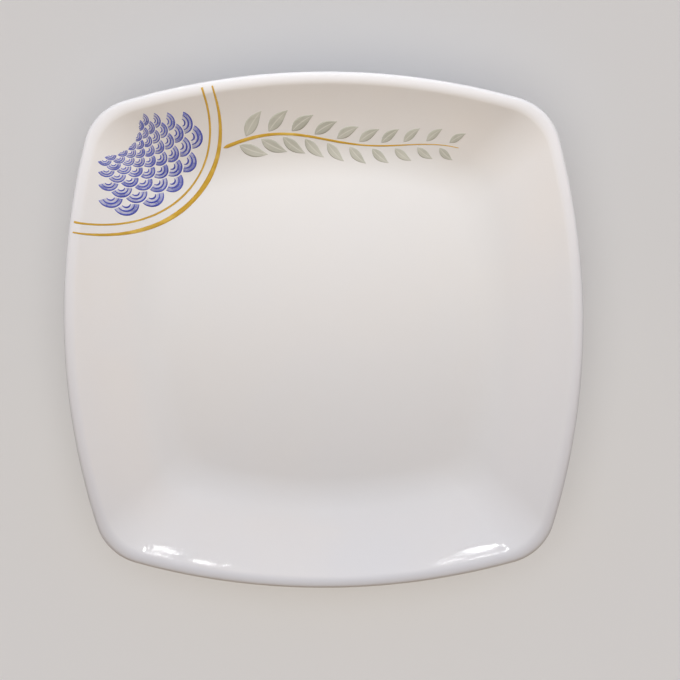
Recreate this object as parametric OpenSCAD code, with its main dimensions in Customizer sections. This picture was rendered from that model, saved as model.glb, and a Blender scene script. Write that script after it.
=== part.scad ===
// Deep square plate: one porcelain body with bowed sides, a coved well and a foot ring,
// and the coloured enamel and gilding that are fired on to its upper left corner.
// The origin is on the table, under the middle of the plate, and +Y is the top of the design.

/* [Plate] */
// Width across the middle of two opposite sides
plate_w = 230; // [200:1:300]
// Height of the lip above the table
plate_h = 38; // [32:0.5:56]
// Radius to which each side bows outwards
side_bow_r = 314; // [230:1:600]
// Radius of the corners at the rim
corner_r = 25; // [18:0.5:40]
// Thickness of the wall
wall_t = 4.4; // [3:0.1:6]
// Radius of the lip's inner shoulder, which sets how tight its outer edge is
lip_shoulder_r = 5; // [2:0.1:6]

/* [Well] */
// Width of the flat floor across the middle of two opposite sides
floor_w = 140; // [110:1:160]
// Thickness of the base under the floor
base_t = 5; // [4:0.1:7]
// Radius of the cove between the floor and the wall
cove_r = 28; // [20:0.5:36]
// Slope at which the cove hands over to the wall, in degrees from level
cove_angle = 35; // [20:0.5:40]

/* [Foot ring] */
// Width over the foot ring where it leaves the underside
foot_w = 142; // [110:1:158]
// Height of the base's underside above the table
foot_h = 4; // [3:0.1:6]
// Width of the flat land that the plate stands on
foot_land = 2.4; // [1.5:0.1:5]
// Rounding of the two edges of the land
foot_edge_r = 0.8; // [0.3:0.1:1.2]
// Draft of the foot ring's two faces, in degrees
foot_draft = 14; // [5:1:25]

/* [Enamel] */
// Height of the fired enamel
enamel_t = 0.12; // [0.08:0.01:0.3]
// Clearance between the enamel and the glaze
enamel_gap = 0.06; // [0.05:0.01:0.1]
// Least distance kept between the waves and the lip's shoulder
lip_margin = 0.5; // [0.3:0.1:6]

/* [Wave fan] */
// Reach of the fan of waves from the tip of the corner
fan_r = 44; // [25:1:50]
// Share of that reach that is left bare at the tip
fan_bare_share = 0.36; // [0.3:0.01:0.6]
// Turn about the tip that one wave takes up, in degrees
wave_turn = 16.5; // [14:0.5:24]
// Number of crest lines in one wave
wave_lines = 3; // [1:1:3]
// Width of a crest line at its middle, as a share of the wave's radius
wave_line_share = 0.16; // [0.1:0.01:0.2]
// Angle from the crest to either end of a crest line
wave_spread = 74; // [50:1:80]
// Distance from one row of waves to the next, as a share of the wave's radius
wave_row_share = 0.75; // [0.75:0.01:1.2]

/* [Gilding] */
// Gap between the fan of waves and the thin gilt arc
gilt_arc_gap = 2.5; // [2:0.5:6]
// Width of the thin gilt arc
gilt_thin_w = 0.9; // [0.5:0.1:1.5]
// Gap between the thin and the broad gilt arcs
gilt_pair_gap = 4.5; // [2.5:0.5:8]
// Greatest width of the broad gilt arc
gilt_broad_w = 2.2; // [1:0.1:3]
// Width of the broad gilt arc at its ends
gilt_broad_end_w = 0.7; // [0.4:0.1:1]
// Greatest width of the gilt stem
stem_w = 1.5; // [0.8:0.1:2]
// Width of the gilt stem at its tip
stem_tip_w = 0.3; // [0.2:0.1:0.5]

/* [Leaf spray] */
// Distance of the stem below the rim, measured along the middle of the top side
stem_below_rim = 27; // [22:1:35]
// Distance by which the stem sways to either side
stem_sway = 2.6; // [0:0.1:4]
// Length of the stem from the broad gilt arc, measured across the plate
stem_reach = 106; // [60:1:120]
// Number of leaf pairs along the stem
leaf_pairs = 10; // [6:1:12]
// Length of the leaves nearest the corner
leaf_l = 13.5; // [8:0.5:16]
// Length of the leaves at the tip
leaf_tip_l = 7.5; // [5:0.5:10]
// Width of a leaf as a share of its length
leaf_slimness = 0.4; // [0.3:0.01:0.45]
// Angle at which leaves stand off the stem, in degrees
leaf_angle = 48; // [30:1:60]
// Gap between the stem and the base of a leaf
leaf_gap = 1.1; // [0.8:0.1:2]

/* [Hidden] */

porcelain_white = "#f1eeea";
cobalt_blue = "#5566bd";
sage_grey = "#b4b2a0";
soft_gold = "#c2962f";

// Facets of one bowed side, one corner, the cove, the wall, the lip's shoulder, each half of the lip's
// edge, and a foot edge
side_steps = 14;
corner_steps = 8;
cove_steps = 5;
wall_steps = 8;
shoulder_steps = 5;
lip_edge_steps = 3;
foot_edge_steps = 3;

// Facets along one crest line, one leaf and one gilt line
wave_steps = 6;
leaf_steps = 7;
gilt_steps = 36;

// Least width that a tapering line comes down to
line_end_w = 0.25;
// Turn of the sway's wave along the stem
stem_sway_turn = 450;
// Bend of a leaf along the stem, in degrees
leaf_bend = 22;
// Halvings used to find an angle
search_halvings = 24;
// Steepest that the wall can come up to the lip, in degrees
steepest_wall = 85;
// Turn of the wall, in degrees, below which it counts as straight
straight_turn = 0.01;

// Plan outline of the rim: four bow arcs and four corner arcs, tangent to each other
half_w = plate_w / 2;
bow_centre = side_bow_r - half_w;
bow_inner_r = side_bow_r - corner_r;
corner_centre = (sqrt(2 * bow_inner_r ^ 2 - bow_centre ^ 2) - bow_centre) / 2;
bow_angle = asin(corner_centre / bow_inner_r);
corner_tip = corner_centre + corner_r * sin(45);

function polar(radius, angle) = radius * [cos(angle), sin(angle)];
function turned(p, angle) = [
    p.x * cos(angle) - p.y * sin(angle),
    p.x * sin(angle) + p.y * cos(angle)
];

quarter_outline = concat(
    [for (i = [0 : side_steps - 1])
        [-bow_centre, 0] + polar(side_bow_r, bow_angle * (2 * i / side_steps - 1))],
    [for (i = [0 : corner_steps - 1])
        [corner_centre, corner_centre]
            + polar(corner_r, bow_angle + (90 - 2 * bow_angle) * i / corner_steps)]
);
rim_outline = [for (quarter = [0 : 3]) for (p = quarter_outline) turned(p, 90 * quarter)];

// Half width, at the middle of a side, of the scaled outline that passes through a point. The point
// is folded into one eighth of the outline, where the edge that it lies on has the largest share.
function section_width(p) =
    let (folded = [max(abs(p.x), abs(p.y)), min(abs(p.x), abs(p.y))])
    half_w * max([for (i = [1 : len(quarter_outline) - 1])
        let (a = quarter_outline[i - 1], b = quarter_outline[i]) cross(folded, b - a) / cross(a, b)]);

// Cross-section at the middle of a side, as [half width, height]. The wall's middle line is a cove
// arc and then one arc up to the lip, which has a wide shoulder inside and a tight edge outside.
half_t = wall_t / 2;
floor_z = foot_h + base_t;
cove_middle_r = cove_r + half_t;

// Step from the middle line to the upper face, for a wall of that slope
function face_step(slope) = half_t * [-sin(slope), cos(slope)];
function cove_middle(slope) =
    [floor_w / 2, floor_z - half_t] + cove_middle_r * [sin(slope), 1 - cos(slope)];
cove_end = cove_middle(cove_angle);

// Lip of a wall that comes up at a slope: the radius of its outer edge, its crest, the point of its
// shoulder where the face has another slope, and the end of the wall's middle line
function lip_edge_r(slope) = (wall_t - lip_shoulder_r * (1 - cos(slope))) / (1 + cos(slope));
function lip_crest(slope) = [half_w - lip_edge_r(slope), plate_h];
function shoulder_point(slope, at) = lip_crest(slope) - lip_shoulder_r * [sin(at), 1 - cos(at)];
function wall_end(slope) = shoulder_point(slope, slope) - face_step(slope);

// Slope at which an arc from the cove arrives at that end, and the slope for which the two agree
function slope_reached(slope) =
    let (run = wall_end(slope) - cove_end) 2 * atan2(run.y, run.x) - cove_angle;
function agreed_slope(low = 0, high = steepest_wall, halvings = search_halvings) =
    let (middle = (low + high) / 2)
    halvings == 0 ? middle :
    slope_reached(middle) > middle
        ? agreed_slope(middle, high, halvings - 1)
        : agreed_slope(low, middle, halvings - 1);
lip_slope = agreed_slope();
wall_turn = lip_slope - cove_angle;
wall_run = wall_end(lip_slope) - cove_end;

function wall_share(u) =
    abs(wall_turn) < straight_turn ? u : sin(u * wall_turn / 2) / sin(wall_turn / 2);
function wall_middle(u) =
    cove_end + norm(wall_run) * wall_share(u) * [
        cos(cove_angle + u * wall_turn / 2),
        sin(cove_angle + u * wall_turn / 2)
    ];

inner_section = concat(
    [[floor_w / 2, floor_z]],
    [for (i = [1 : cove_steps])
        let (slope = cove_angle * i / cove_steps) cove_middle(slope) + face_step(slope)],
    [for (i = [1 : wall_steps])
        let (u = i / wall_steps) wall_middle(u) + face_step(cove_angle + u * wall_turn)]
);
wall_top_width = inner_section[len(inner_section) - 1].x;
shoulder_section = [for (i = [1 : shoulder_steps])
    shoulder_point(lip_slope, lip_slope * (1 - i / shoulder_steps))];

// Outer edge of the lip: from the crest out to the full width, and round to the underside of the wall
edge_r = lip_edge_r(lip_slope);
edge_centre = lip_crest(lip_slope) - [0, edge_r];
edge_section = concat(
    [for (i = [1 : lip_edge_steps]) edge_centre + polar(edge_r, 90 * (1 - i / lip_edge_steps))],
    [for (i = [1 : lip_edge_steps]) edge_centre + polar(edge_r, (lip_slope - 90) * i / lip_edge_steps)]
);

// Underside: down the wall and the cove as far as the foot ring
foot_half_w = foot_w / 2;
foot_cove_slope = asin(max(0, foot_half_w - floor_w / 2) / (cove_r + wall_t));
outer_section = concat(
    [for (i = [wall_steps - 1 : -1 : 0])
        let (u = i / wall_steps) wall_middle(u) - face_step(cove_angle + u * wall_turn)],
    [for (i = [cove_steps - 1 : -1 : 0])
        let (slope = foot_cove_slope + (cove_angle - foot_cove_slope) * i / cove_steps)
        cove_middle(slope) - face_step(slope)]
);
foot_top_z = outer_section[len(outer_section) - 1].y;

// Foot ring: a drafted outer face, a rounded land and a drafted inner face
foot_edge_out = [
    foot_half_w - foot_edge_r * cos(foot_draft)
        - (foot_top_z - foot_edge_r * (1 - sin(foot_draft))) * tan(foot_draft),
    foot_edge_r
];
foot_edge_in = foot_edge_out - [foot_land, 0];
foot_face_in = foot_edge_in - foot_edge_r * [cos(foot_draft), sin(foot_draft)];
foot_section = concat(
    foot_half_w < floor_w / 2 ? [[foot_half_w, foot_top_z]] : [],
    [for (i = [0 : foot_edge_steps])
        foot_edge_out + polar(foot_edge_r, -foot_draft - (90 - foot_draft) * i / foot_edge_steps)],
    [for (i = [0 : foot_edge_steps])
        foot_edge_in + polar(foot_edge_r, -90 - (90 - foot_draft) * i / foot_edge_steps)],
    [[foot_face_in.x - (foot_h - foot_face_in.y) * tan(foot_draft), foot_h]]
);

// Closed solid whose rings are the rim outline, scaled to each point of a section
module scaled_rings(section) {
    sides = len(rim_outline);
    last = len(section) - 1;
    points = [for (s = section) for (p = rim_outline) [p.x * s.x / half_w, p.y * s.x / half_w, s.y]];
    bands = [for (r = [0 : last - 1]) for (i = [0 : sides - 1])
        let (a = r * sides + i, b = r * sides + (i + 1) % sides)
        each [[a, b, b + sides], [a, b + sides, a + sides]]];
    floor_face = [for (i = [sides - 1 : -1 : 0]) i];
    base_face = [for (i = [0 : sides - 1]) last * sides + i];
    polyhedron(points, concat([floor_face], bands, [base_face]));
}

// Point of the glazed upper face above a plan point, raised by a height
upper_face = concat(inner_section, shoulder_section);
function on_glaze(p, height) = [p.x, p.y, lookup(section_width(p), upper_face) + height];

// Thin solid on the glaze: stations along a plan path, each with a half width to either side
module enamel_stroke(path, half_widths, across = 2) {
    last = len(path) - 1;
    row = across + 1;
    layer = len(path) * row;
    function side_of(i) =
        let (run = path[min(i + 1, last)] - path[max(i - 1, 0)]) [-run.y, run.x] / norm(run);
    function station(i, j) = path[i] + side_of(i) * half_widths[i] * (1 - 2 * j / across);
    points = [for (height = [enamel_gap + enamel_t, enamel_gap])
        for (i = [0 : last]) for (j = [0 : across]) on_glaze(station(i, j), height)];
    function quad(a, b, c, d) = [[a, b, c], [a, c, d]];
    broad_faces = [for (i = [0 : last - 1]) for (j = [0 : across - 1])
        let (a = i * row + j, b = a + 1, d = a + row, c = d + 1)
        each concat(quad(a, d, c, b), quad(a + layer, b + layer, c + layer, d + layer))];
    edge_faces = [for (i = [0 : last - 1])
        let (a = i * row, b = a + row, c = a + across, d = c + row)
        each concat(quad(b, a, a + layer, b + layer), quad(c, d, d + layer, c + layer))];
    end_faces = [for (j = [0 : across - 1])
        let (a = j, b = j + 1, c = last * row + j + 1, d = last * row + j)
        each concat(quad(a, b, b + layer, a + layer), quad(c, d, d + layer, c + layer))];
    polyhedron(points, concat(broad_faces, edge_faces, end_faces));
}

// Fan of waves in the corner: rows on arcs about its tip, crests away from it, each row set half a
// wave round from the last. A wave's size is in proportion to its distance from the tip.
corner_point = [-corner_tip, corner_tip];
wave_share = sin(wave_turn / 2) / (1 + wave_line_share / 2);
first_row_r = fan_r / (1 + sin(wave_turn / 2));
row_shrink = 1 - wave_row_share * wave_share;
last_row = floor(ln(fan_bare_share * fan_r / first_row_r) / ln(row_shrink));
waves_to_side = ceil(90 / wave_turn);

function crest_line(centre, radius, heading) = [for (i = [0 : wave_steps])
    centre + polar(radius, heading + wave_spread * (2 * i / wave_steps - 1))];
function crest_half_widths(wave_r) =
    let (line_w = wave_line_share * wave_r, end_w = min(line_end_w, line_w))
    [for (i = [0 : wave_steps]) (end_w + (line_w - end_w) * sin(180 * i / wave_steps)) / 2];
function clear_of_lip(path) =
    max([for (p = path) section_width(p)]) <= wall_top_width - lip_margin;

module blue_wave_print() {
    color(cobalt_blue)
    for (row = [0 : last_row], i = [-waves_to_side : waves_to_side]) {
        row_r = first_row_r * row_shrink ^ row;
        wave_r = wave_share * row_r;
        heading = wave_turn * (i + (row % 2) / 2) - 45;
        centre = corner_point + polar(row_r, heading);
        if (clear_of_lip(crest_line(centre, wave_r * (1 + wave_line_share / 2), heading)))
            for (line = [0 : wave_lines - 1])
                enamel_stroke(
                    crest_line(centre, wave_r * (1 - line / wave_lines), heading),
                    crest_half_widths(wave_r),
                    across = 1
                );
    }
}

// Gilt arcs round the corner, from the top of one side's wall to the top of the next
gilt_thin_r = fan_r + gilt_arc_gap + gilt_thin_w / 2;
gilt_broad_r = gilt_thin_r + gilt_pair_gap;
gilt_end_width = wall_top_width - gilt_broad_w / 2;

// Point of an arc round the corner, and the swing from the diagonal at which it meets a section width
function round_corner(radius, swing) = corner_point + polar(radius, swing - 45);
function swing_to(width, radius, low = 0, high = 80, halvings = search_halvings) =
    halvings == 0 ? low :
    let (middle = (low + high) / 2)
    section_width(round_corner(radius, middle)) < width
        ? swing_to(width, radius, middle, high, halvings - 1)
        : swing_to(width, radius, low, middle, halvings - 1);
function corner_arc(radius) =
    let (swing = swing_to(gilt_end_width, radius))
    [for (i = [0 : gilt_steps]) round_corner(radius, swing * (2 * i / gilt_steps - 1))];

module gilt_thin_arc() {
    color(soft_gold)
    enamel_stroke(corner_arc(gilt_thin_r), [for (i = [0 : gilt_steps]) gilt_thin_w / 2], across = 1);
}

module gilt_broad_arc() {
    swell = gilt_broad_w - gilt_broad_end_w;
    color(soft_gold)
    enamel_stroke(
        corner_arc(gilt_broad_r),
        [for (i = [0 : gilt_steps]) (gilt_broad_end_w + swell * sin(180 * i / gilt_steps)) / 2]
    );
}

// Leaf spray: a gilt stem that follows the bow of the top side, with leaves to either side
stem_width = half_w - stem_below_rim;
stem_start = round_corner(gilt_broad_r, swing_to(stem_width, gilt_broad_r)) + [gilt_broad_w, 0];
function stem_point(u) =
    let (
        x = stem_start.x + stem_reach * u,
        scale = (stem_width + stem_sway * sin(stem_sway_turn * u)) / half_w
    )
    [x, sqrt((side_bow_r * scale) ^ 2 - x ^ 2) - bow_centre * scale];
function stem_heading(u) =
    let (run = stem_point(u + 1 / gilt_steps) - stem_point(u - 1 / gilt_steps)) atan2(run.y, run.x);

module gilt_stem() {
    color(soft_gold)
    enamel_stroke(
        [for (i = [0 : gilt_steps]) stem_point(i / gilt_steps)],
        [for (i = [0 : gilt_steps]) let (u = i / gilt_steps) (stem_w * (1 - u) + stem_tip_w * u) / 2]
    );
}

// Leaves stand in staggered pairs, shorter towards the tip, each bent a little along the stem
function leaf_path(u, side, length) =
    let (
        heading = stem_heading(u) + side * leaf_angle,
        base = stem_point(u) + polar(leaf_gap + stem_w / 2, heading)
    )
    [for (i = [0 : leaf_steps])
        let (v = i / leaf_steps) base + polar(length * v, heading - side * leaf_bend * v / 2)];
function leaf_half_widths(length) = [for (i = [0 : leaf_steps])
    max(line_end_w, length * leaf_slimness * sin(180 * (i / leaf_steps) ^ 0.8)) / 2];

module sage_leaf_print() {
    color(sage_grey)
    for (i = [0 : leaf_pairs - 1], side = [-1, 1]) {
        u = (i + 0.75 + side * 0.2) / (leaf_pairs + 0.5);
        length = leaf_l + (leaf_tip_l - leaf_l) * u;
        enamel_stroke(leaf_path(u, side, length), leaf_half_widths(length));
    }
}

module plate_body() {
    color(porcelain_white)
    scaled_rings(concat(inner_section, shoulder_section, edge_section, outer_section, foot_section));
}

plate_body();
blue_wave_print();
gilt_thin_arc();
gilt_broad_arc();
gilt_stem();
sage_leaf_print();
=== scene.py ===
import math

import bmesh
import bpy
from mathutils import Matrix, Quaternion, Vector, noise


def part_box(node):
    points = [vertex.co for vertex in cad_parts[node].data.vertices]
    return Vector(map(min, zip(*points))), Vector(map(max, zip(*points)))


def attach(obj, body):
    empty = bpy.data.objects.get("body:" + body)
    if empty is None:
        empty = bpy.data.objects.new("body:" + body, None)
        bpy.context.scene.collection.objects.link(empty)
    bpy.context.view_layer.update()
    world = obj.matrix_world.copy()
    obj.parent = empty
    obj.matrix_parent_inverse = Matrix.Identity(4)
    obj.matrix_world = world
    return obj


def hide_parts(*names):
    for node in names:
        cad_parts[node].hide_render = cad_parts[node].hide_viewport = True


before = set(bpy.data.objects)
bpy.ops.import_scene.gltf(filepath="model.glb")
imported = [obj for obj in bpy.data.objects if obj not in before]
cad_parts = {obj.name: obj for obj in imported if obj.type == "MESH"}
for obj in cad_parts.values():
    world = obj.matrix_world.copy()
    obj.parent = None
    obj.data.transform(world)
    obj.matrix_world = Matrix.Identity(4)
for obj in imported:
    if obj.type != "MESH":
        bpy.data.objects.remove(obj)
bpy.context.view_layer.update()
print("frame loaded:", ", ".join(sorted(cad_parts)))

mm = 0.001
scene = bpy.context.scene


# Node helpers

def feed(tree, socket, value):
    if isinstance(value, bpy.types.NodeSocket):
        tree.links.new(value, socket)
    else:
        socket.default_value = value


def addNode(tree, kind, values=None, **settings):
    node = tree.nodes.new(kind)
    for name, value in settings.items():
        setattr(node, name, value)
    for socket, value in (values or {}).items():
        feed(tree, node.inputs[socket], value)
    return node


def noiseField(tree, vector, scale, detail=2, roughness=0.5):
    values = {"Vector": vector, "Scale": scale, "Detail": detail, "Roughness": roughness}
    return addNode(tree, "ShaderNodeTexNoise", values).outputs["Fac"]


def remap(tree, value, before, after=(0, 1), curve="SMOOTHSTEP"):
    values = {"Value": value, "From Min": before[0], "From Max": before[1],
              "To Min": after[0], "To Max": after[1]}
    return addNode(tree, "ShaderNodeMapRange", values, interpolation_type=curve).outputs["Result"]


def calculate(tree, operation, *values):
    node = addNode(tree, "ShaderNodeMath", dict(enumerate(values)), operation=operation)
    return node.outputs["Value"]


def mixColor(tree, factor, first, second):
    # the colours of a mix are its sockets 6 and 7, and what comes out is its output 2
    node = addNode(tree, "ShaderNodeMix", {0: factor, 6: first, 7: second}, data_type="RGBA")
    return node.outputs[2]


def separate(tree, vector):
    return addNode(tree, "ShaderNodeSeparateXYZ", {"Vector": vector}).outputs


def newMaterial(name):
    material = bpy.data.materials.new(name)
    material.use_nodes = True
    tree = material.node_tree
    coords = addNode(tree, "ShaderNodeTexCoord").outputs
    return material, tree, tree.nodes["Principled BSDF"], coords


def newGroup(name, inputs, outputs):
    group = bpy.data.node_groups.new(name, "ShaderNodeTree")
    for label, kind in inputs.items():
        group.interface.new_socket(label, in_out="INPUT", socket_type=kind)
    for label in outputs:
        group.interface.new_socket(label, in_out="OUTPUT", socket_type="NodeSocketFloat")
    given = group.nodes.new("NodeGroupInput").outputs
    result = group.nodes.new("NodeGroupOutput").inputs
    return group, given, result


def placeGroup(tree, group, values):
    return addNode(tree, "ShaderNodeGroup", values, node_tree=group).outputs


def addBump(tree, shader, height, distance):
    bump = addNode(tree, "ShaderNodeBump", {"Height": height, "Distance": distance})
    feed(tree, shader.inputs["Normal"], bump.outputs["Normal"])


# Object helpers

def addObject(name, data):
    thing = bpy.data.objects.new(name, data)
    scene.collection.objects.link(thing)
    return thing


def meshObject(name, bm, materials):
    mesh = bpy.data.meshes.new(name)
    bm.to_mesh(mesh)
    bm.free()
    for material in materials:
        mesh.materials.append(material)
    return addObject(name, mesh)


def finishPiece(name, bm, materials, node):
    piece = meshObject(name, bm, materials)
    piece.data.shade_smooth()
    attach(piece, "root")
    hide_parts(node)
    print("made", name, "with", len(piece.data.polygons), "faces")
    return piece


# Shape helpers

def polar(radius, angle):
    return radius * Vector((math.cos(angle), math.sin(angle)))


def below(slope):
    # direction from an arc's centre to where its lower side has this slope
    return Vector((math.sin(slope), -math.cos(slope)))


def within(share):
    return min(1, max(0, share))


def bisect(isBelow, low, high, halvings=40):
    for _ in range(halvings):
        middle = (low + high) / 2
        if isBelow(middle):
            low = middle
        else:
            high = middle
    return low


# Gloss that varies a little, and the slow ripple and fine peel of a fired glaze

glaze = {
    "glossScale": 38,                  # per metre, like every scale but that of streaks
    "glossRange": (0.3, 0.7),
    "rippleScale": 52,
    "peelScale": 900,
    "peelShare": 0.14,                 # of the ripple's height
}


def makeGlazeSurface():
    number = "NodeSocketFloat"
    inputs = {"Vector": "NodeSocketVector", "Low Roughness": number, "High Roughness": number}
    group, given, result = newGroup("glazeSurface", inputs, ["Roughness", "Height"])
    cloud = noiseField(group, given["Vector"], glaze["glossScale"], detail=3, roughness=0.6)
    limits = (given["Low Roughness"], given["High Roughness"])
    feed(group, result["Roughness"], remap(group, cloud, glaze["glossRange"], limits, "LINEAR"))
    ripple = noiseField(group, given["Vector"], glaze["rippleScale"], detail=1)
    peel = noiseField(group, given["Vector"], glaze["peelScale"], detail=1)
    peel = calculate(group, "MULTIPLY", peel, glaze["peelShare"])
    feed(group, result["Height"], calculate(group, "ADD", ripple, peel))
    return group


def glazeOver(tree, shader, place, gloss, rippleHeight=0):
    low, high = gloss
    values = {"Vector": place, "Low Roughness": low, "High Roughness": high}
    surface = placeGroup(tree, glazeSurface, values)
    feed(tree, shader.inputs["Roughness"], surface["Roughness"])
    if rippleHeight:
        addBump(tree, shader, surface["Height"], rippleHeight)


# Colour laid with a brush: it pools at the edges of a stroke and streaks along it

brush = {
    "streakStretch": 0.9,              # along the stroke
    "streakScale": 2.4,                # per unit of a stroke's UV
    "streakRange": (0.32, 0.68),
    "unit": 10 * mm,                   # of that UV, along the stroke
    "unevenness": 0.14,                # of a line's width
    "wavers": 9,                       # along one line
    "depth": 0.08 * mm,                # from the top of a stroke down into the glaze
}


def makeBrushFilm():
    inputs = {"UV": "NodeSocketVector", "Edge": "NodeSocketFloat", "Streaks": "NodeSocketFloat"}
    group, given, result = newGroup("brushFilm", inputs, ["Pool", "Streak", "Across"])
    parts = separate(group, given["UV"])
    side = calculate(group, "ABSOLUTE", calculate(group, "SUBTRACT", parts["Y"], 0.5))
    side = calculate(group, "MULTIPLY", side, 2)
    feed(group, result["Across"], side)
    edgeStart = calculate(group, "SUBTRACT", 1, given["Edge"])
    feed(group, result["Pool"], remap(group, side, (edgeStart, 1), curve="LINEAR"))
    along = calculate(group, "MULTIPLY", parts["X"], brush["streakStretch"])
    over = calculate(group, "MULTIPLY", parts["Y"], given["Streaks"])
    hair = addNode(group, "ShaderNodeCombineXYZ", {"X": along, "Y": over}).outputs["Vector"]
    streak = noiseField(group, hair, brush["streakScale"], detail=3, roughness=0.6)
    feed(group, result["Streak"], remap(group, streak, brush["streakRange"]))
    return group


glazeSurface = makeGlazeSurface()
brushFilm = makeBrushFilm()


# Plate body

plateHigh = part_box("plate_body")[1]
halfWidth = plateHigh.x
plate = {
    "height": plateHigh.z,
    "bowRadius": 314 * mm,             # bow of each side, in plan
    "cornerRadius": 25 * mm,
    "wall": 4.4 * mm,
    "shoulder": 5 * mm,                # radius of the lip's inner shoulder
    "floorHalf": 70 * mm,              # flat floor, to the middle of a side
    "floorHeight": 9 * mm,
    "coveRadius": 28 * mm,
    "coveSlope": math.radians(35),     # where the cove hands over to the wall
    "steepest": math.radians(85),      # that the lip's slope is sought up to
    "footHalf": 71 * mm,
    "footHeight": 4 * mm,
    "footBottom": 3.6 * mm,            # foot ring at the table, before its edges are rounded
    "footDraft": math.radians(14),
    "footRounding": 0.8 * mm,
    "footRoundSteps": 4,
    "sideSteps": 20,                   # half of one side
    "cornerSteps": 14,                 # half of one corner
    "warp": 0.12 * mm,                 # unevenness of the lip after firing
    "warpScale": 22,
    "mergeWithin": 0.001 * mm,
    "sameSpot": 0.01 * mm,
    "whites": [(0.815, 0.795, 0.775, 1), (0.795, 0.79, 0.79, 1)],
    "whiteScale": 14,
    "whiteRange": (0.35, 0.65),
    "pooledGlaze": (0.775, 0.785, 0.79, 1),
    "pooledFrom": 0.5 * mm,            # above the floor
    "pooledTo": 20 * mm,               # above the table
    "pooledShare": 0.6,
    # painted shade: the crest of the lip is made darker and cooler, as if lit by cool light
    "lipShadeColor": (0.735, 0.74, 0.765, 1),
    "lipShadeDepth": 2 * mm,               # below the crest
    "lipShadeShare": 0.8,
    "speck": (0.30, 0.25, 0.20, 1),
    "speckScale": 62,
    "speckSize": (0.014, 0.026),       # core and edge, as shares of a cell
    "speckChance": (0.95, 0.96),       # only the cells past this have one
    "speckShare": 0.7,
    "gloss": (0.02, 0.055),
    "rippleHeight": 0.08 * mm,
    "glazeIor": 1.52,
}

# Plan outline: a bow arc for each side and a corner arc between, tangent to each other
bowCentre = plate["bowRadius"] - halfWidth
innerBow = plate["bowRadius"] - plate["cornerRadius"]
cornerCentre = (math.sqrt(2 * innerBow ** 2 - bowCentre ** 2) - bowCentre) / 2
bowAngle = math.asin(cornerCentre / innerBow)
junction = Vector((cornerCentre, cornerCentre)) + polar(plate["cornerRadius"], bowAngle)
cornerTip = cornerCentre + plate["cornerRadius"] * math.sin(math.pi / 4)

# Section at the middle of a side: floor, cove arc, wall arc, wide shoulder, crest, tight outer edge
halfWall = plate["wall"] / 2
coveCentre = Vector((plate["floorHalf"], plate["floorHeight"] + plate["coveRadius"]))
coveTop = coveCentre + plate["coveRadius"] * below(plate["coveSlope"])
coveEnd = coveCentre + (plate["coveRadius"] + halfWall) * below(plate["coveSlope"])


def edgeFor(slope):
    # radius of the outer edge that closes the lip of a wall of this slope
    return (plate["wall"] - plate["shoulder"] * (1 - math.cos(slope))) / (1 + math.cos(slope))


def wallRunFor(slope):
    # run of the wall's middle line, from the end of the cove to the lip
    centre = Vector((halfWidth - edgeFor(slope), plate["height"] - plate["shoulder"]))
    return centre - (plate["shoulder"] - halfWall) * below(slope) - coveEnd


def fallsShort(slope):
    run = wallRunFor(slope)
    return slope + plate["coveSlope"] < 2 * math.atan2(run.y, run.x)


lipSlope = bisect(fallsShort, 0, plate["steepest"])
lipEdge = edgeFor(lipSlope)
crest = Vector((halfWidth - lipEdge, plate["height"]))
edgeCentre = crest - Vector((0, lipEdge))
shoulderCentre = crest - Vector((0, plate["shoulder"]))
wallTop = shoulderCentre - plate["shoulder"] * below(lipSlope)
wallRadius = wallRunFor(lipSlope).length / (2 * math.sin((lipSlope - plate["coveSlope"]) / 2))
wallCentre = coveEnd - wallRadius * below(plate["coveSlope"])


def sectionWidth(x, y):
    # half width of the scaled outline that passes through a plan point
    far, near = max(abs(x), abs(y)), min(abs(x), abs(y))
    reach = x * x + y * y
    if near * junction.x <= far * junction.y:
        spare = plate["bowRadius"] ** 2 - bowCentre ** 2
        lean = bowCentre * far
        return halfWidth * (lean + math.sqrt(lean ** 2 + spare * reach)) / spare
    spare = 2 * cornerCentre ** 2 - plate["cornerRadius"] ** 2
    lean = cornerCentre * (far + near)
    return halfWidth * (lean - math.sqrt(lean ** 2 - spare * reach)) / spare


def warpAt(x, y):
    # nothing over the foot, more towards the rim, and never upwards
    share = max(0, sectionWidth(x, y) - plate["footHalf"]) / (halfWidth - plate["footHalf"])
    ripple = noise.noise(Vector((x, y, 0)) * plate["warpScale"])
    return -plate["warp"] * share ** 2 * (0.5 + 0.5 * ripple)


def glazeHeight(x, y):
    width = sectionWidth(x, y)
    if width < plate["floorHalf"]:
        height = plate["floorHeight"]
    elif width < coveTop.x:
        reach = width - coveCentre.x
        height = coveCentre.y - math.sqrt(plate["coveRadius"] ** 2 - reach ** 2)
    elif width < wallTop.x:
        reach = width - wallCentre.x
        height = wallCentre.y - math.sqrt((wallRadius - halfWall) ** 2 - reach ** 2)
    else:
        reach = min(width, crest.x) - crest.x
        height = shoulderCentre.y + math.sqrt(plate["shoulder"] ** 2 - reach ** 2)
    return height + warpAt(x, y)


def rimPoint(turn):
    # where a point of the round blank's rim goes on the bowed square
    quarter = round(turn / (math.pi / 2))
    local = turn - quarter * math.pi / 2
    share = abs(local) / (math.pi / 4)
    sideShare = plate["sideSteps"] / (plate["sideSteps"] + plate["cornerSteps"])
    if share <= sideShare:
        swing = bowAngle * share / sideShare
        point = Vector((-bowCentre, 0)) + polar(plate["bowRadius"], swing)
    else:
        swing = bowAngle + (math.pi / 4 - bowAngle) * (share - sideShare) / (1 - sideShare)
        point = Vector((cornerCentre, cornerCentre)) + polar(plate["cornerRadius"], swing)
    point.y = math.copysign(point.y, local)
    point.rotate(Matrix.Rotation(quarter * math.pi / 2, 2))
    return point


def faceArc(centre, radius, first, last, steps):
    return [centre + radius * below(first + (last - first) * i / steps) for i in range(1, steps + 1)]


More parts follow.
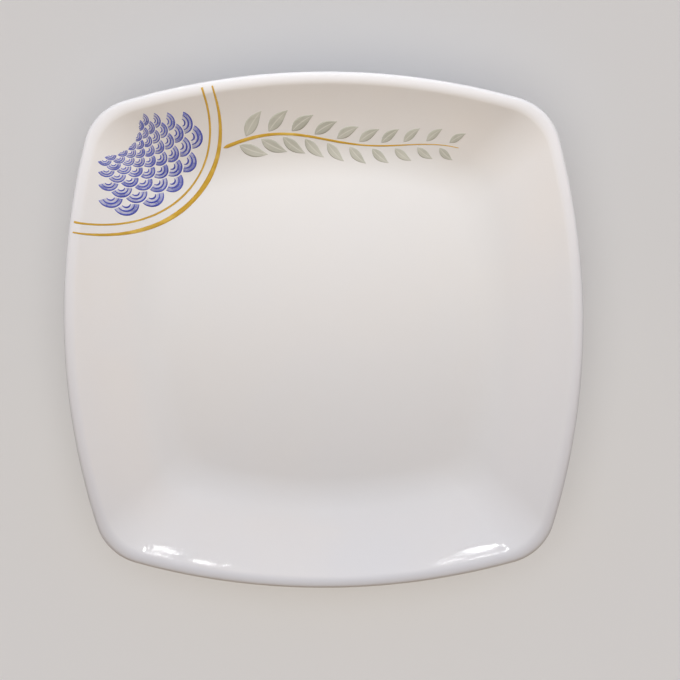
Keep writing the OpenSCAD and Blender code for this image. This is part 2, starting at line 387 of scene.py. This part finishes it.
def plateSection():
    # from the middle of the floor over the lip and round to the middle of the underside
    cove, lip = plate["coveSlope"], lipSlope
    floorSteps, baseSteps = 8, 6
    floorEdge = Vector((plate["floorHalf"], plate["floorHeight"]))
    points = [Vector((floorEdge.x * i / floorSteps, floorEdge.y)) for i in range(floorSteps + 1)]
    points += faceArc(coveCentre, plate["coveRadius"], 0, cove, steps=12)
    points += faceArc(wallCentre, wallRadius - halfWall, cove, lip, steps=24)
    points += faceArc(shoulderCentre, plate["shoulder"], lip + math.pi, math.pi, steps=12)
    points += faceArc(edgeCentre, lipEdge, math.pi, math.pi / 2, steps=8)
    points += faceArc(edgeCentre, lipEdge, math.pi / 2, lip, steps=4)
    points += faceArc(wallCentre, wallRadius + halfWall, lip, cove, steps=22)
    outerCove = plate["coveRadius"] + plate["wall"]
    footSlope = math.asin((plate["footHalf"] - plate["floorHalf"]) / outerCove)
    points += faceArc(coveCentre, outerCove, cove, footSlope, steps=10)
    footTop = points[-1]
    lean = math.tan(plate["footDraft"])
    outerToe = Vector((footTop.x - footTop.y * lean, 0))
    innerToe = outerToe - Vector((plate["footBottom"], 0))
    innerTop = innerToe + Vector((-plate["footHeight"] * lean, plate["footHeight"]))
    points += [outerToe, innerToe, innerTop]
    points += [Vector((innerTop.x * i / baseSteps, innerTop.y)) for i in range(baseSteps - 1, -1, -1)]
    return points, [footTop, outerToe, innerToe, innerTop]


def ringsAt(bm, corners):
    # edges that run round the blank at the given corners of its section
    def cornerOf(vert):
        place = Vector((math.hypot(vert.co.x, vert.co.y), vert.co.z))
        near = [i for i, corner in enumerate(corners) if (place - corner).length < plate["sameSpot"]]
        return near[0] if near else None

    found = {vert: cornerOf(vert) for vert in bm.verts}
    return [edge for edge in bm.edges
            if found[edge.verts[0]] is not None and found[edge.verts[0]] == found[edge.verts[1]]]


def makePlateBody():
    section, footCorners = plateSection()
    bm = bmesh.new()
    chain = [bm.verts.new((point.x, 0, point.y)) for point in section]
    edges = [bm.edges.new(pair) for pair in zip(chain, chain[1:])]
    steps = 8 * (plate["sideSteps"] + plate["cornerSteps"])
    bmesh.ops.spin(bm, geom=chain + edges, axis=(0, 0, 1), cent=(0, 0, 0), angle=2 * math.pi,
                   steps=steps, use_merge=True)
    bmesh.ops.remove_doubles(bm, verts=bm.verts, dist=plate["mergeWithin"])

    # round the four edges of the foot ring while it is still round
    bmesh.ops.bevel(bm, geom=ringsAt(bm, footCorners), offset=plate["footRounding"],
                    offset_type="OFFSET", segments=plate["footRoundSteps"], profile=0.5,
                    affect="EDGES", material=-1, clamp_overlap=True)

    # press the round blank into the bowed square
    for vert in bm.verts:
        reach = math.hypot(vert.co.x, vert.co.y)
        if reach > plate["sameSpot"]:
            vert.co.xy = rimPoint(math.atan2(vert.co.y, vert.co.x)) * (reach / halfWidth)
            vert.co.z += warpAt(vert.co.x, vert.co.y)
    bmesh.ops.recalc_face_normals(bm, faces=bm.faces)
    for face in bm.faces:
        if max(vert.co.z for vert in face.verts) < biscuit["height"]:
            face.material_index = 1
    materials = [glazedPorcelain(), bareBiscuit()]
    return finishPiece("plateBody", bm, materials, "plate_body")


def glazedPorcelain():
    material, tree, shader, coords = newMaterial("glazedPorcelain")
    place = coords["Object"]
    tone = remap(tree, noiseField(tree, place, plate["whiteScale"], detail=3), plate["whiteRange"])
    color = mixColor(tree, tone, *plate["whites"])

    # the glaze gathers at the foot of the wall, and the crest of the lip is painted darker and
    # cooler, as painted shade under cool light
    height = separate(tree, place)["Z"]
    lowWall = (plate["floorHeight"] + plate["pooledFrom"], plate["pooledTo"])
    pooled = remap(tree, height, lowWall, (plate["pooledShare"], 0))
    color = mixColor(tree, pooled, color, plate["pooledGlaze"])
    # painted shade over the crest of the lip
    nearCrest = (plate["height"] - plate["lipShadeDepth"], plate["height"])
    lipShade = remap(tree, height, nearCrest, (0, plate["lipShadeShare"]))
    color = mixColor(tree, lipShade, color, plate["lipShadeColor"])

    # a few iron specks, as any such glaze has
    values = {"Vector": place, "Scale": plate["speckScale"]}
    cells = addNode(tree, "ShaderNodeTexVoronoi", values).outputs
    dot = remap(tree, cells["Distance"], plate["speckSize"], (1, 0))
    chosen = addNode(tree, "ShaderNodeSeparateColor", {"Color": cells["Color"]}).outputs["Red"]
    chosen = remap(tree, chosen, plate["speckChance"], (0, plate["speckShare"]))
    color = mixColor(tree, calculate(tree, "MULTIPLY", dot, chosen), color, plate["speck"])
    feed(tree, shader.inputs["Base Color"], color)
    glazeOver(tree, shader, place, plate["gloss"], plate["rippleHeight"])
    shader.inputs["IOR"].default_value = plate["glazeIor"]
    return material


# Unglazed land of the foot ring

biscuit = {
    "height": 0.5 * mm,                # faces wholly below this are bare
    "grains": [(0.60, 0.565, 0.51, 1), (0.74, 0.71, 0.665, 1)],
    "grainScale": 1900,
    "grainRange": (0.3, 0.7),
    "grainHeight": 0.05 * mm,
    "roughness": (0.72, 0.92),
    "stain": (0.43, 0.38, 0.32, 1),
    "stainScale": 70,
    "stainRange": (0.45, 0.75),
    "stainShare": 0.35,
}


def bareBiscuit():
    material, tree, shader, coords = newMaterial("bareBiscuit")
    place = coords["Object"]
    grain = noiseField(tree, place, biscuit["grainScale"], detail=3, roughness=0.7)
    stain = noiseField(tree, place, biscuit["stainScale"], detail=4, roughness=0.7)
    stain = remap(tree, stain, biscuit["stainRange"])
    stain = calculate(tree, "MULTIPLY", stain, biscuit["stainShare"])
    color = mixColor(tree, grain, *biscuit["grains"])
    feed(tree, shader.inputs["Base Color"], mixColor(tree, stain, color, biscuit["stain"]))
    dull = remap(tree, grain, biscuit["grainRange"], biscuit["roughness"])
    feed(tree, shader.inputs["Roughness"], dull)
    addBump(tree, shader, grain, biscuit["grainHeight"])
    return material


pieces = [makePlateBody()]


# Strokes of enamel and gold, laid on the glaze along plan paths

def brushStroke(bm, path, halfWide, film, steps, materialIndex=0):
    uvLayer = bm.loops.layers.uv.verify()
    count, across = steps
    strip = bmesh.ops.create_grid(bm, x_segments=count, y_segments=across, size=1)
    nudge = 0.5 / count
    length = sum((path((i + 1) / count) - path(i / count)).length for i in range(count))
    marks = {}
    for vert in strip["verts"]:
        along, over = (vert.co.x + 1) / 2, vert.co.y
        heading = path(along + nudge) - path(along - nudge)
        side = Vector((-heading.y, heading.x)).normalized()
        plan = path(along) + side * halfWide(along) * over
        vert.co = (plan.x, plan.y, glazeHeight(plan.x, plan.y) + film(along, over))
        marks[vert] = (along * length / brush["unit"], (over + 1) / 2)
    for face in {face for vert in strip["verts"] for face in vert.link_faces}:
        face.material_index = materialIndex
        for loop in face.loops:
            loop[uvLayer].uv = marks[loop.vert]


def domed(edge, crown):
    # height of a film above the glaze at its edges, and how much more at its middle
    return lambda along, over: edge + crown * (1 - over * over)


def handDrawn(width, seed):
    # half width of a line from a brush, which is never quite even
    def halfWide(u):
        waver = noise.noise(Vector((u * brush["wavers"], seed, 0)))
        return width(u) / 2 * (1 + brush["unevenness"] * waver)

    return halfWide


def thicken(piece):
    wall = piece.modifiers.new("filmDepth", "SOLIDIFY")
    wall.thickness = brush["depth"]
    wall.offset = -1
    return piece


# Wave fan in the upper left corner: rows on arcs about its tip, crests away from it

cornerPoint = Vector((-cornerTip, cornerTip))
waves = {
    "reach": 44 * mm,                  # of the fan, from the tip of the corner
    "bareShare": 0.36,                 # of that reach, left white at the tip
    "turn": math.radians(16.5),        # that one wave takes up about the tip
    "spread": math.radians(74),        # from the crest to either end
    "rowShare": 0.75,                  # from row to row, as a share of a wave's radius
    "lines": 3,
    "lineShare": 0.16,                 # of a wave's radius
    "lineEnd": 0.25 * mm,
    "lineFilm": (0.02 * mm, 0.05 * mm),
    "lineSteps": (12, 2),
    "washShare": 0.14,                 # of a wave's radius, where the wash under a crest runs out
    "washFilm": (0.012 * mm, 0.006 * mm),
    "washSteps": (12, 4),
    "lipMargin": 0.5 * mm,
    "lipChecks": 6,                    # steps along a crest, from check to check
    "deepBlue": (0.040, 0.055, 0.37, 1),
    "midBlue": (0.14, 0.18, 0.65, 1),
    "brush": {"Edge": 0.6, "Streaks": 1.5},
    "loadScale": 130,
    "loadRange": (0.3, 0.7),
    "poolShare": 0.35,
    "gloss": (0.12, 0.24),
    "rippleHeight": 0.06 * mm,
    "washBlue": (0.25, 0.30, 0.80, 1),
    "washScale": 190,
    "washRange": (0.35, 0.65),
    "washFade": ((0.15, 0.95), (0.62, 0)),
    "washPatch": ((0.25, 0.7), (0.35, 1)),
    "washGloss": (0.1, 0.2),
}


def crestLine(centre, radius, heading):
    return lambda u: centre + polar(radius, heading + waves["spread"] * (2 * u - 1))


def clearOfLip(path):
    checks = waves["lipChecks"]
    limit = wallTop.x - waves["lipMargin"]
    return all(sectionWidth(*path(i / checks)) <= limit for i in range(checks + 1))


def wavesInFan():
    half = math.sin(waves["turn"] / 2)
    share = half / (1 + waves["lineShare"] / 2)
    toSide = math.ceil(math.pi / 2 / waves["turn"])
    rowRadius, row = waves["reach"] / (1 + half), 0
    while rowRadius >= waves["bareShare"] * waves["reach"]:
        for i in range(-toSide, toSide + 1):
            heading = waves["turn"] * (i + row % 2 / 2) - math.pi / 4
            centre = cornerPoint + polar(rowRadius, heading)
            radius = share * rowRadius
            if clearOfLip(crestLine(centre, radius * (1 + waves["lineShare"] / 2), heading)):
                yield centre, radius, heading
        rowRadius *= 1 - waves["rowShare"] * share
        row += 1


def makeBlueWavePrint():
    bm = bmesh.new()
    for centre, radius, heading in wavesInFan():
        line = waves["lineShare"] * radius
        lineEnd = min(waves["lineEnd"], line)
        inner = waves["washShare"] * radius

        def lineWidth(u):
            return (lineEnd + (line - lineEnd) * math.sin(math.pi * u)) / 2

        def washWidth(u):
            return (radius - inner) / 2

        brushStroke(bm, crestLine(centre, (radius + inner) / 2, heading), washWidth,
                    domed(*waves["washFilm"]), waves["washSteps"], materialIndex=1)
        for i in range(waves["lines"]):
            lineRadius = radius * (1 - i / waves["lines"])
            brushStroke(bm, crestLine(centre, lineRadius, heading), lineWidth,
                        domed(*waves["lineFilm"]), waves["lineSteps"])
    materials = [blueEnamel(), blueWash()]
    return thicken(finishPiece("blueWavePrint", bm, materials, "blue_wave_print"))


def blueEnamel():
    material, tree, shader, coords = newMaterial("blueEnamel")
    film = placeGroup(tree, brushFilm, {"UV": coords["UV"], **waves["brush"]})
    load = noiseField(tree, coords["Object"], waves["loadScale"], detail=3)
    thin = calculate(tree, "MULTIPLY", film["Streak"], remap(tree, load, waves["loadRange"]))
    color = mixColor(tree, thin, waves["deepBlue"], waves["midBlue"])
    pooled = calculate(tree, "MULTIPLY", film["Pool"], waves["poolShare"])
    feed(tree, shader.inputs["Base Color"], mixColor(tree, pooled, color, waves["deepBlue"]))
    glazeOver(tree, shader, coords["Object"], waves["gloss"], waves["rippleHeight"])
    return material


def blueWash():
    material, tree, shader, coords = newMaterial("blueWash")
    cloud = noiseField(tree, coords["Object"], waves["washScale"], detail=4, roughness=0.6)
    tone = remap(tree, cloud, waves["washRange"])
    feed(tree, shader.inputs["Base Color"], mixColor(tree, tone, waves["washBlue"], waves["midBlue"]))
    # strongest under the crest, and nothing by the middle of the wave
    fade = remap(tree, separate(tree, coords["UV"])["Y"], *waves["washFade"])
    patch = remap(tree, cloud, *waves["washPatch"])
    feed(tree, shader.inputs["Alpha"], calculate(tree, "MULTIPLY", fade, patch))
    glazeOver(tree, shader, coords["Object"], waves["washGloss"])
    return material


pieces.append(makeBlueWavePrint())


# Fired gold, which the two arcs and the stem share

gold = {
    "film": (0.02 * mm, 0.06 * mm),
    "steps": (150, 4),
    "rich": (0.80, 0.50, 0.065, 1),
    "worn": (0.64, 0.375, 0.045, 1),
    # painted glints: brighter gold laid in random patches
    "paintedGlintGold": (0.93, 0.66, 0.15, 1),
    "brush": {"Edge": 0.4, "Streaks": 3},
    "paintedGlintScale": 90,
    "paintedGlintRange": (0.5, 0.72),
    "paintedGlintShare": 0.7,
    "wornEdge": 0.5,
    "roughness": (0.42, 0.28),         # between streaks and on them
    "metallic": 0.55,
    "streakHeight": 0.012 * mm,
}


def makeFiredGold():
    material, tree, shader, coords = newMaterial("firedGold")
    film = placeGroup(tree, brushFilm, {"UV": coords["UV"], **gold["brush"]})
    color = mixColor(tree, film["Streak"], gold["worn"], gold["rich"])
    # painted glints: noise lays patches of brighter gold at random over the lines
    glint = noiseField(tree, coords["Object"], gold["paintedGlintScale"], detail=3)
    glint = remap(tree, glint, gold["paintedGlintRange"], (0, gold["paintedGlintShare"]))
    color = mixColor(tree, glint, color, gold["paintedGlintGold"])
    edge = calculate(tree, "MULTIPLY", film["Pool"], gold["wornEdge"])
    feed(tree, shader.inputs["Base Color"], mixColor(tree, edge, color, gold["worn"]))
    feed(tree, shader.inputs["Roughness"], remap(tree, film["Streak"], (0, 1), gold["roughness"]))
    shader.inputs["Metallic"].default_value = gold["metallic"]
    addBump(tree, shader, film["Streak"], gold["streakHeight"])
    return material


firedGold = makeFiredGold()


def giltLine(name, node, path, width, seed):
    bm = bmesh.new()
    brushStroke(bm, path, handDrawn(width, seed), domed(*gold["film"]), gold["steps"])
    return thicken(finishPiece(name, bm, [firedGold], node))


# Two gilt arcs round the corner

thinArc = {
    "gap": 2.5 * mm,                   # from the fan
    "width": 0.9 * mm,
    "seed": 1.7,
}
broadArc = {
    "gap": 4.5 * mm,                   # from the thin arc, middle to middle
    "width": 2.2 * mm,
    "endWidth": 0.7 * mm,
    "seed": 4.1,
}
shortOfCrest = 0.7 * mm                # both run over the shoulder and stop here
widestSwing = math.radians(80)         # that their ends are sought up to
thinRadius = waves["reach"] + thinArc["gap"] + thinArc["width"] / 2
broadRadius = thinRadius + broadArc["gap"]


def roundCorner(radius, swing):
    return cornerPoint + polar(radius, swing - math.pi / 4)


def swingTo(width, radius):
    # swing from the diagonal at which an arc reaches a section width
    return bisect(lambda swing: sectionWidth(*roundCorner(radius, swing)) < width, 0, widestSwing)


def arcPath(radius):
    swing = swingTo(crest.x - shortOfCrest, radius)
    return lambda u: roundCorner(radius, swing * (2 * u - 1))


def thinWidth(u):
    return thinArc["width"]


def broadWidth(u):
    swell = broadArc["width"] - broadArc["endWidth"]
    return broadArc["endWidth"] + swell * math.sin(math.pi * within(u))


thinPath = arcPath(thinRadius)
broadPath = arcPath(broadRadius)
pieces.append(giltLine("giltThinArc", "gilt_thin_arc", thinPath, thinWidth, thinArc["seed"]))
pieces.append(giltLine("giltBroadArc", "gilt_broad_arc", broadPath, broadWidth, broadArc["seed"]))


# Gilt stem along the top wall

stem = {
    "belowRim": 27 * mm,               # at the middle of the top side
    "reach": 106 * mm,
    "sway": 2.6 * mm,
    "swayTurn": math.radians(450),
    "width": 1.5 * mm,
    "tipWidth": 0.3 * mm,
    "startShare": 0.3,                 # of its width, where the brush touches down
    "setDown": 0.02,                   # share of the stem over which the brush comes down
    "headingStep": 0.02,
    "seed": 7.3,
}
stemRing = halfWidth - stem["belowRim"]
stemStart = roundCorner(broadRadius, swingTo(stemRing, broadRadius)) + Vector((broadArc["width"], 0))


def stemPoint(u):
    x = stemStart.x + stem["reach"] * u
    scale = (stemRing + stem["sway"] * math.sin(stem["swayTurn"] * u)) / halfWidth
    return Vector((x, math.sqrt((plate["bowRadius"] * scale) ** 2 - x * x) - bowCentre * scale))


def stemHeading(u):
    run = stemPoint(u + stem["headingStep"]) - stemPoint(u - stem["headingStep"])
    return math.atan2(run.y, run.x)


def stemWidth(u):
    setDown = min(1, stem["startShare"] + u / stem["setDown"])
    return setDown * (stem["width"] * (1 - u) + stem["tipWidth"] * u)


pieces.append(giltLine("giltStem", "gilt_stem", stemPoint, stemWidth, stem["seed"]))


# Leaves in staggered pairs along the stem

leaves = {
    "pairs": 10,
    "firstPair": 0.75,                 # from the stem's start, in steps from pair to pair
    "spareSteps": 0.5,                 # in the stem, beyond one for each pair
    "stagger": 0.2,                    # of either leaf of a pair, in the same steps
    "length": 13.5 * mm,
    "tipLength": 7.5 * mm,
    "slimness": 0.4,
    "fullness": 0.8,                   # under 1, the widest part is nearer the base
    "angle": math.radians(48),
    "bend": math.radians(22),
    "gap": 1.1 * mm,                   # from the stem
    "leastWidth": 0.25 * mm,
    "steps": (16, 8),
    "film": (0.02 * mm, 0.05 * mm),
    "ribWidth": 0.14,                  # share of the leaf
    "ribDepth": 0.03 * mm,
    "paleSage": (0.58, 0.59, 0.53, 1),
    "sage": (0.47, 0.48, 0.42, 1),
    "loadScale": 60,
    "loadRange": (0.35, 0.65),
    "brush": {"Edge": 0.3, "Streaks": 4},
    "streakShare": 0.35,
    "poolShare": 0.5,
    "vein": (0.69, 0.69, 0.64, 1),
    "veinFade": ((0.05, 0.16), (0.8, 0)),
    "gloss": (0.18, 0.32),
    "rippleHeight": 0.06 * mm,
}


def leafFilm(along, over):
    edge, crown = leaves["film"]
    rib = max(0, 1 - abs(over) / leaves["ribWidth"])
    return edge + crown * (1 - over * over) - leaves["ribDepth"] * rib


def makeSageLeafPrint():
    bm = bmesh.new()
    stemSteps = leaves["pairs"] + leaves["spareSteps"]
    for i in range(leaves["pairs"]):
        for side in (-1, 1):
            u = (i + leaves["firstPair"] + side * leaves["stagger"]) / stemSteps
            length = leaves["length"] + (leaves["tipLength"] - leaves["length"]) * u
            heading = stemHeading(u) + side * leaves["angle"]
            base = stemPoint(u) + polar(leaves["gap"] + stem["width"] / 2, heading)

            def midrib(v):
                return base + polar(length * v, heading - side * leaves["bend"] * v / 2)

            def halfWide(v):
                swell = math.sin(math.pi * within(v) ** leaves["fullness"])
                return max(leaves["leastWidth"], length * leaves["slimness"] * swell) / 2

            brushStroke(bm, midrib, halfWide, leafFilm, leaves["steps"])
    return thicken(finishPiece("sageLeafPrint", bm, [sageEnamel()], "sage_leaf_print"))


def sageEnamel():
    material, tree, shader, coords = newMaterial("sageEnamel")
    film = placeGroup(tree, brushFilm, {"UV": coords["UV"], **leaves["brush"]})
    load = noiseField(tree, coords["Object"], leaves["loadScale"], detail=3)
    load = remap(tree, load, leaves["loadRange"])
    color = mixColor(tree, load, leaves["sage"], leaves["paleSage"])
    streak = calculate(tree, "MULTIPLY", film["Streak"], leaves["streakShare"])
    color = mixColor(tree, streak, color, leaves["paleSage"])
    pooled = calculate(tree, "MULTIPLY", film["Pool"], leaves["poolShare"])
    color = mixColor(tree, pooled, color, leaves["sage"])
    vein = remap(tree, film["Across"], *leaves["veinFade"])
    feed(tree, shader.inputs["Base Color"], mixColor(tree, vein, color, leaves["vein"]))
    glazeOver(tree, shader, coords["Object"], leaves["gloss"], leaves["rippleHeight"])
    return material


pieces.append(makeSageLeafPrint())


# Studio: pale floor, soft light, and the camera at the photograph's angle

studio = {
    "floorRadius": 4.0,
    "floorSides": 96,
    "floorDrop": 0.05 * mm,            # clear of the foot ring
    "floorTones": [(0.74, 0.745, 0.74, 1), (0.77, 0.775, 0.77, 1)],
    "floorScale": 3,
    "floorRoughness": 0.9,
    "floorLift": 0.08,                 # brightens the floor for the camera and in reflections
    "floorSun": 1.3,                   # watts per square metre, on the floor alone
    "floorSunAngle": math.radians(75),
    "backdrop": (0.608, 0.588, 0.578, 1),
    "warmSide": (0, -0.77, 0.64),      # the side of the sky that the top wall faces
    "warmRange": (0.1, 0.95),          # from cool to warm, by the cosine from that side
    "warmSky": (0.32, 0.205, 0.075, 1),
    "coolSky": (0.32, 0.343, 0.435, 1),
    "stripPlace": (0, 0.20, 0.28),
    "stripTarget": (0, 0, 0.02),
    "stripSize": (0.34, 0.12),
    "stripPower": 0.925,               # watts
    "stripColor": (1.0, 0.99, 0.975),
    "glintDistance": 1.03,
    "glintTarget": (0, -0.1, 0.034),
    "glintRadiance": 26,
    "glintColor": (1, 1, 1),
    # narrow lamps that the bottom corners mirror: x, z, size, lean in degrees
    "glints": [
        (0.117, 0.299, (0.010, 0.055), 16),
        (0.077, 0.216, (0.007, 0.034), 0),
        (0.300, 0.320, (0.300, 0.012), 0),
        (-0.169, 0.285, (0.013, 0.052), -13),
        (-0.141, 0.214, (0.007, 0.034), 0),
        (-0.320, 0.305, (0.260, 0.012), 0),
    ],
    "imageSize": 680,                  # pixels
    "focalLength": 1135,               # pixels
    "sensor": 36,                      # millimetres
    "clipStart": 0.01,
    "cameraPlace": (13.7 * mm, 59.1 * mm, 535.4 * mm),
    "cameraTurn": (-6.932, 0.662, -0.368),    # degrees
}


def cameraOrGlossy(tree):
    path = addNode(tree, "ShaderNodeLightPath").outputs
    return calculate(tree, "MAXIMUM", path["Is Camera Ray"], path["Is Glossy Ray"])


def makeFloor():
    bm = bmesh.new()
    bmesh.ops.create_circle(bm, cap_ends=True, segments=studio["floorSides"],
                            radius=studio["floorRadius"])
    bmesh.ops.translate(bm, verts=bm.verts, vec=(0, 0, -studio["floorDrop"]))
    floor = meshObject("paleFloor", bm, [floorPaint()])
    return floor


def floorPaint():
    material, tree, shader, coords = newMaterial("paleFloor")
    tone = noiseField(tree, coords["Object"], studio["floorScale"])
    feed(tree, shader.inputs["Base Color"], mixColor(tree, tone, *studio["floorTones"]))
    shader.inputs["Roughness"].default_value = studio["floorRoughness"]
    shader.inputs["Specular IOR Level"].default_value = 0
    shader.inputs["Emission Color"].default_value = studio["floorTones"][0]
    lift = calculate(tree, "MULTIPLY", cameraOrGlossy(tree), studio["floorLift"])
    feed(tree, shader.inputs["Emission Strength"], lift)
    return material


def makeSky():
    world = bpy.data.worlds.new("studioSky")
    world.use_nodes = True
    scene.world = world
    tree = world.node_tree
    direction = addNode(tree, "ShaderNodeTexCoord").outputs["Generated"]
    values = {0: direction, 1: studio["warmSide"]}
    lean = addNode(tree, "ShaderNodeVectorMath", values, operation="DOT_PRODUCT").outputs["Value"]
    sky = mixColor(tree, remap(tree, lean, studio["warmRange"]), studio["coolSky"], studio["warmSky"])
    seen = mixColor(tree, cameraOrGlossy(tree), sky, studio["backdrop"])
    feed(tree, tree.nodes["Background"].inputs["Color"], seen)


def addSoftbox(name, place, target, size, power, color, lean=0):
    lamp = bpy.data.lights.new(name, "AREA")
    lamp.shape = "RECTANGLE"
    lamp.size, lamp.size_y = size
    lamp.energy = power
    lamp.color = color
    box = addObject(name, lamp)
    box.visible_camera = False
    box.location = place
    aim = (Vector(target) - Vector(place)).to_track_quat("-Z", "Y")
    box.rotation_euler = (aim @ Quaternion((0, 0, 1), math.radians(lean))).to_euler()
    return box


def lightOnly(lamp, receivers):
    lit = bpy.data.collections.new(lamp.name + "Lights")
    for receiver in receivers:
        lit.objects.link(receiver)
    lamp.light_linking.receiver_collection = lit


def lightFloor(floor):
    # an even light whose bounce reaches the outer wall and the foot
    sun = bpy.data.lights.new("floorSun", "SUN")
    sun.energy = studio["floorSun"]
    sun.angle = studio["floorSunAngle"]
    lightOnly(addObject("floorSun", sun), [floor])


def lightPlate():
    # the near strip gives the well its fall-off; it leaves the floor and the reflections alone
    strip = addSoftbox("nearStrip", studio["stripPlace"], studio["stripTarget"], studio["stripSize"],
                       studio["stripPower"], studio["stripColor"])
    strip.visible_glossy = False
    lightOnly(strip, pieces)
    for x, z, size, lean in studio["glints"]:
        place = (x, studio["glintDistance"], z)
        power = studio["glintRadiance"] * math.pi * size[0] * size[1]
        glint = addSoftbox("cornerGlint", place, studio["glintTarget"], size, power,
                           studio["glintColor"], lean)
        glint.visible_diffuse = False


def placeCamera():
    camera = bpy.data.cameras.new("camera")
    camera.sensor_width = studio["sensor"]
    camera.lens = studio["sensor"] * studio["focalLength"] / studio["imageSize"]
    camera.clip_start = studio["clipStart"]
    view = addObject("camera", camera)
    view.location = studio["cameraPlace"]
    view.rotation_euler = [math.radians(turn) for turn in studio["cameraTurn"]]
    scene.camera = view


lightFloor(makeFloor())
makeSky()
lightPlate()
placeCamera()
scene.view_settings.view_transform = "Standard"
print("studio ready")
